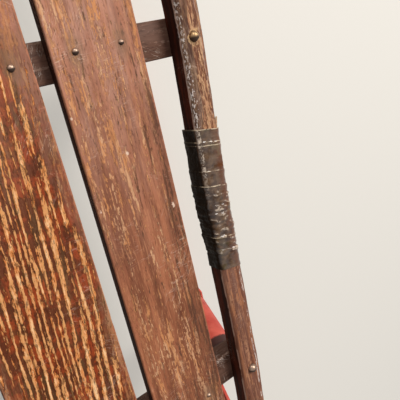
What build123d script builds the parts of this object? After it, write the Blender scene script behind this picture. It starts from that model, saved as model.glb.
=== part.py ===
from build123d import *
from math import cos, radians, sin, sqrt
import os

# A wooden steering sled on steel runners: a slatted deck of three boards between two raised side
# rails, four wooden benches on splayed pressed-steel knees, T-section runners that sweep up in
# front, and a wooden steering bar on a centre bolt. All sizes are millimetres. The floor is z = 0,
# the front is -Y, and +X is the rider's left. The origin is on the floor under the middle.

# Deck
deck_height = 200.0
board_thickness = 12.5
centre_board_width = 101.6
side_board_width = 79.0
board_gap = 15.0
board_corner = 16.0
board_edge_round = 1.5
rear_overhang = 130.0

# Benches, the wooden crossbars under the deck
bench_width = 33.0
bench_thickness = 23.0
bench_spacing = 356.0
bench_count = 4
bench_edge_round = 2.0
bench_end_chamfer = 9.0
nose_bench_width = 38.0
nose_ahead_of_bench = 200.0

# Side rails, which stand on the bench ends and draw together towards the front
rail_width = 26.0
rail_height = 20.5
rail_round = 6.0
rail_centre_rear = 197.0
rail_sweep_radius = 17500.0
rail_nose_overhang = 25.0

# The rider's left rail cracked ahead of the second bench and was bound with tape
crack_ahead_of_bench = 150.0
crack_kink = 4.5
tape_first_edge = 83.5
tape_last_edge = 233.0
tape_thickness = 1.2

# Runners, a rolled T: an upright web on a flat tread
runner_centre = 240.0
web_thickness = 5.0
runner_height = 22.0
tread_width = 14.0
tread_thickness = 3.5
front_sweep_degrees = 90.0
bare_tip_degrees = 13.0
tail_behind_bench = 62.0
tail_radius = 110.0
tail_degrees = 34.0

# Pressed-steel knees, a crowned channel that widens into the bench
knee_foot_width = 28.0
knee_top_width = 44.0
knee_crown = 8.0
knee_lip = 6.0
knee_steel = 2.4
knee_foot_overreach = 5.0
knee_pad_thickness = 2.5
knee_pad_inboard = 22.0
knee_pad_corner = 6.0
foot_plate_length = 56.0
foot_plate_height = 44.0
foot_plate_waist = 20.0

# Steering head
bar_past_runner = 50.0
bar_middle_width = 52.0
bar_end_width = 30.0
bar_thickness = 24.0
bar_edge_round = 4.0
bar_ahead_of_nose = 95.0
centre_board_past_bolt = 44.0
side_board_past_nose = 45.0
rope_hole_radius = 6.0
rope_hole_from_end = 24.0
bolt_radius = 5.0
bolt_head_radius = 12.0
bolt_head_height = 5.0
bolt_head_rim = 0.5
bolt_clearance = 0.1
nut_radius = 9.0
nut_height = 8.0
running_gap = 0.3
bar_over_deck = 5.0
pivot_plate_length = 84.0
pivot_plate_width = 56.0
pivot_plate_corner = 10.0
pivot_strap_width = 38.0
pivot_strap_thickness = 3.0
bracket_steel = 3.0
bracket_width = 30.0
bracket_drop = 40.0
bracket_reach = 42.0
bracket_corner = 10.0

# Heights and a length that follow from the sizes
deck_bottom = deck_height - board_thickness
bench_bottom = deck_bottom - bench_thickness
bar_bottom = deck_height + bar_over_deck
bar_top = bar_bottom + bar_thickness
bar_half_length = runner_centre + bar_past_runner

# Places along the sled, worked out so that the origin is under the middle
total_length = (centre_board_past_bolt + bar_ahead_of_nose + nose_ahead_of_bench
                + (bench_count - 1) * bench_spacing + rear_overhang)
front_end = -total_length / 2
rear_end = total_length / 2
bar_y = front_end + centre_board_past_bolt
nose_y = bar_y + bar_ahead_of_nose
bench_ys = [nose_y + nose_ahead_of_bench + n * bench_spacing for n in range(bench_count)]
rail_front = nose_y - rail_nose_overhang
sweep_start = bench_ys[2]
crack_y = bench_ys[1] - crack_ahead_of_bench
side_board_centre = centre_board_width / 2 + board_gap + side_board_width / 2
sides = {"left": 1, "right": -1}


def rail_centre(y):
    """Centre line of a sound rail: straight at the rear, then one long arc inwards."""
    ahead = min(y - sweep_start, 0.0)
    return rail_centre_rear - rail_sweep_radius + sqrt(rail_sweep_radius**2 - ahead**2)


def bench_half_length(y):
    """A bench ends flush with the outer faces of the rails."""
    return rail_centre(y) + rail_width / 2


def cracked_edge(y):
    """How far the cracked rail lies inside a sound one at y: it is straight from bench to crack."""
    bench_y = bench_ys[0] if y < crack_y else bench_ys[1]
    share = (y - bench_y) / (crack_y - bench_y)
    crack_x = rail_centre(crack_y) - crack_kink
    straight_x = rail_centre(bench_y) + share * (crack_x - rail_centre(bench_y))
    return rail_centre(y) - straight_x


def rail_outline(side, stations, half_width):
    """Plan outline of a rail through stations of (y, shift towards the sled's middle)."""
    outer = [(side * (rail_centre(y) - shift + half_width), y) for y, shift in stations]
    inner = [(side * (rail_centre(y) - shift - half_width), y) for y, shift in stations]
    return outer + inner[::-1]


def save(piece, name):
    piece.part.label = name
    export_step(piece.part, f"parts/{name}.step")


os.makedirs("parts", exist_ok=True)

# Deck boards: name, centre x, width, front end
boards = [
    ("board_centre", 0.0, centre_board_width, front_end),
    ("board_left", side_board_centre, side_board_width, nose_y - side_board_past_nose),
    ("board_right", -side_board_centre, side_board_width, nose_y - side_board_past_nose),
]
for name, centre_x, width, front in boards:
    with BuildPart() as board:
        with BuildSketch(Plane.XY.offset(deck_bottom)):
            with Locations((centre_x, (front + rear_end) / 2)):
                RectangleRounded(width, rear_end - front, board_corner)
        extrude(amount=board_thickness)
        fillet(board.faces().sort_by(Axis.Z)[-1].edges(), board_edge_round)
        if centre_x == 0:
            with BuildSketch(Plane.XY.offset(deck_bottom)):
                with Locations((0, bar_y)):
                    Circle(bolt_radius + bolt_clearance)
            extrude(amount=board_thickness, mode=Mode.SUBTRACT)
    save(board, name)

# Benches, from the front one to the rear one, and the nose bench that carries no knees
bench_table = [(f"bench_{n + 1}", y, bench_width) for n, y in enumerate(bench_ys)]
bench_table.append(("nose_bench", nose_y, nose_bench_width))
for name, y, width in bench_table:
    half_length = bench_half_length(y)
    with BuildPart() as bench:
        with BuildSketch(Plane.XZ.offset(-y - width / 2)):
            with BuildLine():
                Polyline(
                    (-half_length, deck_bottom),
                    (half_length, deck_bottom),
                    (half_length, bench_bottom + bench_end_chamfer),
                    (half_length - bench_end_chamfer, bench_bottom),
                    (-half_length + bench_end_chamfer, bench_bottom),
                    (-half_length, bench_bottom + bench_end_chamfer),
                    close=True,
                )
            make_face()
        extrude(amount=width)
        long_edges = bench.edges().filter_by(Axis.X).group_by(Axis.Z)[0]
        fillet(long_edges, bench_edge_round)
    save(bench, name)

# Side rails. Only the rider's left one is kinked at its crack.
sound_ys = [rear_end, sweep_start, bench_ys[1], bench_ys[0], rail_front]
rail_stations = {
    "left": [(y, 0.0) for y in sound_ys[:3]] + [(crack_y, crack_kink)] + [(y, 0.0) for y in sound_ys[3:]],
    "right": [(y, 0.0) for y in sound_ys],
}
rails = {}
for side_name, side in sides.items():
    with BuildPart() as rail:
        with BuildSketch(Plane.XY.offset(deck_bottom)):
            with BuildLine():
                Polyline(*rail_outline(side, rail_stations[side_name], rail_width / 2), close=True)
            make_face()
        extrude(amount=rail_height)
        fillet(rail.faces().sort_by(Axis.Z)[-1].edges(), rail_round)
    rails[side_name] = rail
    save(rail, f"rail_{side_name}")

# The tape is a sleeve round the cracked rail
tape_start_y = bench_ys[1] - tape_first_edge
tape_end_y = bench_ys[1] - tape_last_edge
tape_stations = [(y, cracked_edge(y)) for y in (tape_start_y, crack_y, tape_end_y)]
with BuildPart() as tape:
    with BuildSketch(Plane.XY.offset(deck_bottom - tape_thickness)):
        with BuildLine():
            tape_outline = rail_outline(sides["left"], tape_stations, rail_width / 2 + tape_thickness)
            Polyline(*tape_outline, close=True)
        make_face()
    extrude(amount=rail_height + 2 * tape_thickness)
    top_sides = tape.faces().sort_by(Axis.Z)[-1].edges().filter_by(Axis.X, reverse=True)
    fillet(top_sides, rail_round + tape_thickness)
    add(rails["left"].part, mode=Mode.SUBTRACT)
save(tape, "tape_wrap")

# Runners. The front sweep ends under the steering bar, and its start follows from that.
tip_height = bar_bottom - running_gap
sweep_cos = cos(radians(front_sweep_degrees))
sweep_radius = (tip_height - runner_height * sweep_cos) / (1 - sweep_cos)
sweep_start_y = bar_y + (sweep_radius - runner_height / 2) * sin(radians(front_sweep_degrees))
tail_start_y = bench_ys[-1] + tail_behind_bench


def swept_strip(centre, radius, from_angle, arc, depth):
    """Face outline between an arc and a smaller one on the same centre, in the Y-Z plane."""
    outer = CenterArc(centre, radius, from_angle, arc)
    inner = CenterArc(centre, radius - depth, from_angle, arc)
    Line(outer @ 0, inner @ 0)
    Line(outer @ 1, inner @ 1)


# The two strips of one T section, the web and the tread: depth above the sole, width across, and
# how far up the front sweep it goes. The tread ends below the tip, and the web goes on alone.
tee = [
    (runner_height, web_thickness, front_sweep_degrees),
    (tread_thickness, tread_width, front_sweep_degrees - bare_tip_degrees),
]
for side_name, side in sides.items():
    middle = Plane.YZ.offset(side * runner_centre)
    with BuildPart() as runner:
        for depth, width, _ in tee:
            with BuildSketch(middle):
                with Locations(((sweep_start_y + tail_start_y) / 2, depth / 2)):
                    Rectangle(tail_start_y - sweep_start_y, depth)
            extrude(amount=width / 2, both=True)
            with BuildSketch(middle):
                with BuildLine():
                    swept_strip((tail_start_y, tail_radius), tail_radius, 270, tail_degrees, depth)
                make_face()
            extrude(amount=width / 2, both=True)
    save(runner, f"runner_{side_name}")

    with BuildPart() as runner_front:
        for depth, width, sweep in tee:
            with BuildSketch(middle):
                with BuildLine():
                    swept_strip((sweep_start_y, sweep_radius), sweep_radius, 270, -sweep, depth)
                make_face()
            extrude(amount=width / 2, both=True)
    save(runner_front, f"runner_front_{side_name}")

# Knees. The outer edge runs straight from the bench's end to just outside the runner.
knee_top = bench_bottom - knee_pad_thickness


def knee_section(outer_x, width, side):
    """Crowned channel with its crown to the rear and its two lips to the front."""
    half = width / 2
    centre_x = side * (outer_x - half)
    lip_y = -knee_lip
    left, right = centre_x - half, centre_x + half
    ThreePointArc((left, 0), (centre_x, knee_crown), (right, 0))
    Polyline((right, 0), (right, lip_y), (right - knee_steel, lip_y), (right - knee_steel, 0))
    ThreePointArc((left + knee_steel, 0), (centre_x, knee_crown - knee_steel), (right - knee_steel, 0))
    Polyline((left + knee_steel, 0), (left + knee_steel, lip_y), (left, lip_y), (left, 0))


for number, y in enumerate(bench_ys, start=1):
    for side_name, side in sides.items():
        top_outer = bench_half_length(y)
        foot_outer = runner_centre + knee_foot_overreach
        plate_outer = runner_centre - web_thickness / 2
        with BuildPart() as knee:
            with BuildSketch(Plane((0, y, runner_height))):
                with BuildLine():
                    knee_section(foot_outer, knee_foot_width, side)
                make_face()
            with BuildSketch(Plane((0, y, knee_top))):
                with BuildLine():
                    knee_section(top_outer, knee_top_width, side)
                make_face()
            loft(ruled=True)
            with BuildSketch(Plane.XY.offset(knee_top)):
                pad_inner = top_outer - knee_top_width - knee_pad_inboard
                pad_outer = top_outer - bench_end_chamfer
                pad_width = bench_width - 2 * bench_edge_round
                with Locations((side * (pad_inner + pad_outer) / 2, y)):
                    RectangleRounded(pad_outer - pad_inner, pad_width, knee_pad_corner)
            extrude(amount=knee_pad_thickness)
            with BuildSketch(Plane.YZ.offset(side * plate_outer)):
                with BuildLine():
                    Polyline(
                        (y - foot_plate_length / 2, tread_thickness),
                        (y + foot_plate_length / 2, tread_thickness),
                        (y + foot_plate_length / 2, runner_height - knee_steel),
                        (y + foot_plate_waist / 2, foot_plate_height),
                        (y - foot_plate_waist / 2, foot_plate_height),
                        (y - foot_plate_length / 2, runner_height - knee_steel),
                        close=True,
                    )
                make_face()
            extrude(amount=-side * knee_steel)
        save(knee, f"knee_{number}_{side_name}")

# Steering bar, bowed forward a little, with a rope hole in each end
hole_x = bar_half_length - rope_hole_from_end
shoulder_x = bar_half_length - bar_end_width / 2
with BuildPart() as bar:
    with BuildSketch(Plane.XY.offset(bar_bottom)):
        with BuildLine():
            half_middle = bar_middle_width / 2
            half_end = bar_end_width / 2
            ThreePointArc((-shoulder_x, bar_y - half_end), (0, bar_y - half_middle),
                          (shoulder_x, bar_y - half_end))
            ThreePointArc((shoulder_x, bar_y - half_end), (bar_half_length, bar_y),
                          (shoulder_x, bar_y + half_end))
            ThreePointArc((shoulder_x, bar_y + half_end), (0, bar_y + half_middle),
                          (-shoulder_x, bar_y + half_end))
            ThreePointArc((-shoulder_x, bar_y + half_end), (-bar_half_length, bar_y),
                          (-shoulder_x, bar_y - half_end))
        make_face()
    extrude(amount=bar_thickness)
    fillet(bar.faces().filter_by(Axis.Z).edges(), bar_edge_round)
    with BuildSketch(Plane.XY.offset(bar_bottom)):
        with Locations((-hole_x, bar_y), (hole_x, bar_y)):
            Circle(rope_hole_radius)
        with Locations((0, bar_y)):
            Circle(bolt_radius + bolt_clearance)
    extrude(amount=bar_thickness, mode=Mode.SUBTRACT)
save(bar, "steering_bar")

# Brackets that hang from the bar and hold the runner tips
for side_name, side in sides.items():
    leg_outer = runner_centre - web_thickness / 2 - running_gap
    with BuildPart() as bracket:
        with BuildSketch(Plane.YZ.offset(side * leg_outer)):
            with Locations((bar_y, bar_bottom - bracket_drop / 2)):
                Rectangle(bracket_width, bracket_drop)
        extrude(amount=-side * bracket_steel)
        lower_corners = bracket.edges().filter_by(Axis.X).group_by(Axis.Z)[0]
        fillet(lower_corners, bracket_corner)
        with BuildSketch(Plane.XY.offset(bar_bottom)):
            with Locations((side * (leg_outer - bracket_reach / 2), bar_y)):
                Rectangle(bracket_reach, bracket_width)
        extrude(amount=-bracket_steel)
    save(bracket, f"tip_bracket_{side_name}")

# Centre pivot: a plate on the board, a strap under it and one long bolt
with BuildPart() as plate:
    with BuildSketch(Plane.XY.offset(deck_height)):
        with Locations((0, bar_y)):
            RectangleRounded(pivot_plate_width, pivot_plate_length, pivot_plate_corner)
            Circle(bolt_radius + bolt_clearance, mode=Mode.SUBTRACT)
    extrude(amount=bar_over_deck - running_gap)
save(plate, "pivot_plate")

strap_front = bar_y - pivot_strap_width / 2
strap_rear = nose_y - nose_bench_width / 2
with BuildPart() as strap:
    with BuildSketch(Plane.XY.offset(deck_bottom)):
        with Locations((0, (strap_front + strap_rear) / 2)):
            Rectangle(pivot_strap_width, strap_rear - strap_front)
        with Locations((0, bar_y)):
            Circle(bolt_radius + bolt_clearance, mode=Mode.SUBTRACT)
    extrude(amount=-pivot_strap_thickness)
save(strap, "pivot_strap")

nut_top = deck_bottom - pivot_strap_thickness
with BuildPart() as bolt:
    with BuildSketch(Plane.XY.offset(nut_top - nut_height)):
        with Locations((0, bar_y)):
            RegularPolygon(nut_radius, 6)
    extrude(amount=nut_height)
    with BuildSketch(Plane.XY.offset(nut_top)):
        with Locations((0, bar_y)):
            Circle(bolt_radius)
    extrude(amount=bar_top + running_gap - nut_top)
    with BuildSketch(Plane.XY.offset(bar_top + running_gap)):
        with Locations((0, bar_y)):
            Circle(bolt_head_radius)
    extrude(amount=bolt_head_height)
    fillet(bolt.faces().sort_by(Axis.Z)[-1].edges(), bolt_head_height - bolt_head_rim)
save(bolt, "pivot_bolt")
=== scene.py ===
import random
from math import copysign, cos, hypot, pi, radians, sin

import bmesh
import bpy
from mathutils import Matrix, Vector, noise


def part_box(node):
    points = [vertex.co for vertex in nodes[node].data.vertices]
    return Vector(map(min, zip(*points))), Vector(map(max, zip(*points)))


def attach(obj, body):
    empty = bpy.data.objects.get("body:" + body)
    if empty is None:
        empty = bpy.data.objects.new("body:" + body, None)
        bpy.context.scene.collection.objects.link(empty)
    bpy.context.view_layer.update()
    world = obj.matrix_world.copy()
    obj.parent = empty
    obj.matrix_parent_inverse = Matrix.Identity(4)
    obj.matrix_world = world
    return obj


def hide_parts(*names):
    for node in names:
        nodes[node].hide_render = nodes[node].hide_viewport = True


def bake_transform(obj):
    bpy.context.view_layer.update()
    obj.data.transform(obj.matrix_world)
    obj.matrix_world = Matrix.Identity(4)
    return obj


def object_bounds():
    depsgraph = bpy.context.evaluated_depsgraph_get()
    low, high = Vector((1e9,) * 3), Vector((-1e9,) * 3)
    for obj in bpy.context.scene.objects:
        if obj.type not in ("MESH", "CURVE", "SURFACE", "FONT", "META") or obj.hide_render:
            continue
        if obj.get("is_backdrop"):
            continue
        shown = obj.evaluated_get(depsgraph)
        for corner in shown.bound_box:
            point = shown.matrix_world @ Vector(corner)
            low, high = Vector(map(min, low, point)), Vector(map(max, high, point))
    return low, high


# A weathered wooden steering sled. Metres, +Z up, the front of the sled at -Y, +X the rider's left.

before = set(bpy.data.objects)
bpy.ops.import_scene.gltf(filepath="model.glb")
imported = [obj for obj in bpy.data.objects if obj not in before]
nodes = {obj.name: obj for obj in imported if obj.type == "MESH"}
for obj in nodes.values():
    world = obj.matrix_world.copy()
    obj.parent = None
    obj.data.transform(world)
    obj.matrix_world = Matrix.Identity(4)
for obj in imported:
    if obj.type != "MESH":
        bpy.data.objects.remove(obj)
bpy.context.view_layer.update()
up, down = (0, 0, 1), (0, 0, -1)
sides = {"left": 1, "right": -1}

# Deck boards
board_corner = 0.016
board_arris = 0.0015
arris_steps = 3
side_steps = 3
grain_step_across = 0.0009
grain_step_along = 0.0045
ridge_height = 0.00045
swell_height = 0.00015
centre_slant = 0.07
centre_spacing, side_spacing = 0.0062, 0.0085
# Painted sheen with the bloom on the deck: where along the sled it is strongest, and the length of its wave
sheen_middle = -0.02
sheen_length = 0.72
# Pale chips that the photograph shows on the rider's left board: x, y and radius
board_chips = [
    (0.1386, -0.2180, 0.0016), (0.0688, -0.1985, 0.0010), (0.0672, -0.1180, 0.0008), (0.1060, -0.1580, 0.0010)]

# Side rails. They are worn bare from rail_bare_y to the rear, and still varnished ahead of rail_kept_y.
rail_round, rail_under_round = 0.006, 0.0008
rail_step = 0.003
rail_kept_y, rail_bare_y = -0.30, -0.16
rail_arris_depth = 0.0038

# The tape round the cracked rail
tape_proud = 0.0012
tape_under_round = 0.0018
tape_step = 0.0007
tape_lap_height = 0.00045
tape_wrinkle_height = 0.0010
tape_lump_height = 0.0006
tape_bulge = 0.0014
tape_slant = 0.005
tape_inner_round = 0.0116
# How far from the tape's rear end each turn of it begins
tape_laps = [0.0, 0.0118, 0.0150, 0.0400, 0.0550, 0.0640, 0.0745, 0.0830, 0.0895, 0.0960, 0.1085, 0.1225]
# How clearly each of those edges shows as a dusty line
lap_lines = [1.0, 0.9, 1.0, 0.75, 1.4, 0.3, 0.25, 0.3, 0.15, 0.25, 0.85, 0.35]
splinter_root, splinter_tip = Vector((0.1996, -0.1625, 0.2035)), Vector((0.2036, -0.1515, 0.2042))

# Rivets and bolts: where they are, their radius and height, and how far the head sinks into its seat
centre_rivet_x = 0.0348
side_rivet_xs = (0.0856, 0.1262)
rivet_radius, small_rivet_radius, rivet_sink = 0.0030, 0.0025, 0.0004
rail_bolt_radius, small_bolt_radius, rail_bolt_sink = 0.0050, 0.0052, 0.0005
rail_bolt_fullness = 1.1
steel_rivet_radius, steel_sink = 0.0036, 0.0002
pad_underside, pad_rivet_height = 0.162, 0.0016
pad_rivet_inset, pad_rivet_spread = 0.055, 0.008
web_outer, foot_rivet_height = 0.2425, 0.0018
foot_rivet_z, foot_rivet_spread = 0.012, 0.018
bracket_bolt_radius, bracket_bolt_height, bracket_bolt_drop = 0.0055, 0.0035, 0.020
bar_bolt_x, bar_bolt_sink = 0.216, 0.0003

# The photograph shows those of two benches, each a little off the bench's middle
rivet_drift = 0.003
seen_drifts = {
    ("bench_2", centre_rivet_x): 0.0012,
    ("bench_2", side_rivet_xs[0]): 0.0036,
    ("bench_2", side_rivet_xs[1]): 0.0038,
    ("bench_1", side_rivet_xs[1]): -0.0040,
    ("bench_2", "rail"): -0.0036,
    ("bench_1", "rail"): -0.0010,
}

# The camera, fitted to the long edges and the benches of the photograph
camera_place = (-0.0623, -0.0804, 0.5591)
camera_turn = (0.93643, -0.12507, -0.29278, -0.14744)
camera_lens = 41.85


def colour(red, green, blue):
    """A colour as it looks, 0 to 255 a channel, in Blender's linear scale."""
    levels = [value / 255 for value in (red, green, blue)]
    return tuple(v / 12.92 if v <= 0.04045 else ((v + 0.055) / 1.055) ** 2.4 for v in levels) + (1.0,)


def ease(value, low, high):
    """0 at low, 1 at high, and smooth between them. High may be the smaller one."""
    share = min(max((value - low) / (high - low), 0.0), 1.0)
    return share * share * (3 - 2 * share)


# Wiring of materials and node groups


class Shade:
    """One node tree. Each call adds a node, and joins every socket that it is given."""

    def __init__(self, tree):
        self.tree = tree

    def node(self, kind, inputs=None, **settings):
        made = self.tree.nodes.new(kind)
        for name, value in settings.items():
            setattr(made, name, value)
        for name, value in (inputs or {}).items():
            self.join(value, made.inputs[name])
        return made

    def join(self, value, socket):
        if isinstance(value, bpy.types.NodeSocket):
            self.tree.links.new(value, socket)
        else:
            socket.default_value = value

    def maths(self, operation, first, second=0.0, third=0.0):
        return self.node("ShaderNodeMath", {0: first, 1: second, 2: third}, operation=operation).outputs[0]

    def vectors(self, operation, first, second=(0, 0, 0), output=0):
        return self.node("ShaderNodeVectorMath", {0: first, 1: second}, operation=operation).outputs[output]

    def product(self, first, *others):
        for other in others:
            first = self.maths("MULTIPLY", first, other)
        return first

    def times_plus(self, value, factor, plus):
        return self.maths("MULTIPLY_ADD", value, factor, plus)

    def mix(self, factor, first, second):
        return self.node("ShaderNodeMix", {0: factor, 6: first, 7: second}, data_type="RGBA").outputs[2]

    def spread(self, value, low, high):
        """0 at low, 1 at high, and smooth between them. High may be the smaller one."""
        made = self.node("ShaderNodeMapRange", {"Value": value, "From Min": low, "From Max": high},
                         interpolation_type="SMOOTHSTEP")
        return made.outputs["Result"]

    def near(self, value, middle, outer, inner):
        """1 within the inner distance of the middle, and 0 beyond the outer one."""
        return self.spread(self.maths("ABSOLUTE", self.maths("SUBTRACT", value, middle)), outer, inner)

    def ragged(self, value, roughening, amount):
        """The value, moved up and down by a pattern of about 0 to 1."""
        return self.maths("ADD", value, self.times_plus(roughening, amount, -amount / 2))

    def attribute(self, name):
        return self.node("ShaderNodeAttribute", attribute_name=name).outputs["Fac"]

    def coordinates(self, turn=0.0):
        """Object coordinates in metres, turned so that the grain runs along Y."""
        place = self.node("ShaderNodeTexCoord").outputs["Object"]
        if turn:
            place = self.node("ShaderNodeMapping", {"Vector": place, "Rotation": (0, 0, turn)}).outputs[0]
        return place

    def turned_edges(self, width):
        """Where the surface turns over an edge, for a piece whose mesh doesn't say so itself."""
        softened = self.node("ShaderNodeBevel", {"Radius": width}, samples=4).outputs[0]
        true_normal = self.node("ShaderNodeNewGeometry").outputs["Normal"]
        return self.spread(self.vectors("DOT_PRODUCT", softened, true_normal, "Value"), 0.998, 0.88)

    def group(self, name, **inputs):
        return self.node("ShaderNodeGroup", inputs, node_tree=bpy.data.node_groups[name]).outputs[0]

    def grain_lines(self, place, width, length, seed):
        """A pattern of about 0 to 1 in lines along Y."""
        return self.group("grain_lines", Vector=place, Width=width, Length=length, Seed=seed)

    def patches(self, place, size, detail, seed):
        """A pattern of about 0 to 1 in patches."""
        return self.group("patches", Vector=place, Size=size, Detail=detail, Seed=seed)

    def cover(self, value, level, softness):
        """1 where the value passes the level."""
        return self.group("cover", Value=value, Level=level, Softness=softness)


def new_group(name, labels, output):
    """A node group with an input for each label, all of them numbers but Vector, and one output."""
    tree = bpy.data.node_groups.new(name, "ShaderNodeTree")
    for label in labels:
        kind = "NodeSocketVector" if label == "Vector" else "NodeSocketFloat"
        tree.interface.new_socket(label, in_out="INPUT", socket_type=kind)
    tree.interface.new_socket(output, in_out="OUTPUT", socket_type="NodeSocketFloat")
    given = tree.nodes.new("NodeGroupInput").outputs
    result = tree.nodes.new("NodeGroupOutput").inputs[0]
    return Shade(tree), given, result


def make_groups():
    """The effects that more than one finish uses."""
    shade, given, result = new_group("grain_lines", ["Vector", "Width", "Length", "Seed"], "Value")
    size = shade.node("ShaderNodeCombineXYZ", {"X": given["Width"], "Y": given["Length"], "Z": given["Width"]})
    lines = shade.node("ShaderNodeTexNoise", {
        "Vector": shade.vectors("DIVIDE", given["Vector"], size.outputs[0]), "W": given["Seed"],
        "Scale": 1.0, "Detail": 3.0, "Roughness": 0.6}, noise_dimensions="4D")
    shade.join(lines.outputs["Fac"], result)

    shade, given, result = new_group("patches", ["Vector", "Size", "Detail", "Seed"], "Value")
    cloud = shade.node("ShaderNodeTexNoise", {
        "Vector": given["Vector"], "W": given["Seed"], "Scale": shade.maths("DIVIDE", 1.0, given["Size"]),
        "Detail": given["Detail"], "Roughness": 0.6}, noise_dimensions="4D")
    shade.join(cloud.outputs["Fac"], result)

    shade, given, result = new_group("cover", ["Value", "Level", "Softness"], "Mask")
    low, high = (shade.maths(way, given["Level"], given["Softness"]) for way in ("SUBTRACT", "ADD"))
    shade.join(shade.spread(given["Value"], low, high), result)

    shade, given, result = new_group("hair_scratches", ["Vector", "Turn", "Size", "Seed"], "Mask")
    turn = shade.node("ShaderNodeCombineXYZ", {"Z": given["Turn"]}).outputs[0]
    turned = shade.node("ShaderNodeMapping", {"Vector": given["Vector"], "Rotation": turn}).outputs[0]
    width = shade.maths("MULTIPLY", given["Size"], 0.12)
    thin = shade.near(shade.grain_lines(turned, width, given["Size"], given["Seed"]), 0.5, 0.012, 0.0)
    some = shade.patches(given["Vector"], 0.045, 2.0, given["Seed"])
    shade.join(shade.product(thin, shade.spread(some, 0.56, 0.66)), result)


class Finish(Shade):
    """A material's tree. Its body colour is laid up in layers before it is joined to the shader."""

    def __init__(self, name, shine=0.5):
        self.material = bpy.data.materials.new(name)
        self.material.use_nodes = True
        super().__init__(self.material.node_tree)
        self.surface = self.tree.nodes["Principled BSDF"].inputs
        self.surface["Specular IOR Level"].default_value = shine
        self.body = None

    def lay(self, mask, tint, share=1.0):
        """Lays a share of a tint where the mask is. Gives back the mask with that share."""
        mask = self.product(mask, share)
        self.body = self.mix(mask, self.body, tint)
        return mask

    def finished(self, roughness, height, strength, relief):
        """Joins the colour, the roughness and the relief to the shader."""
        self.join(self.body, self.surface["Base Color"])
        self.join(roughness, self.surface["Roughness"])
        bump = self.node("ShaderNodeBump", {"Height": height, "Strength": strength, "Distance": relief})
        self.join(bump.outputs[0], self.surface["Normal"])
        return self.material


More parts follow.
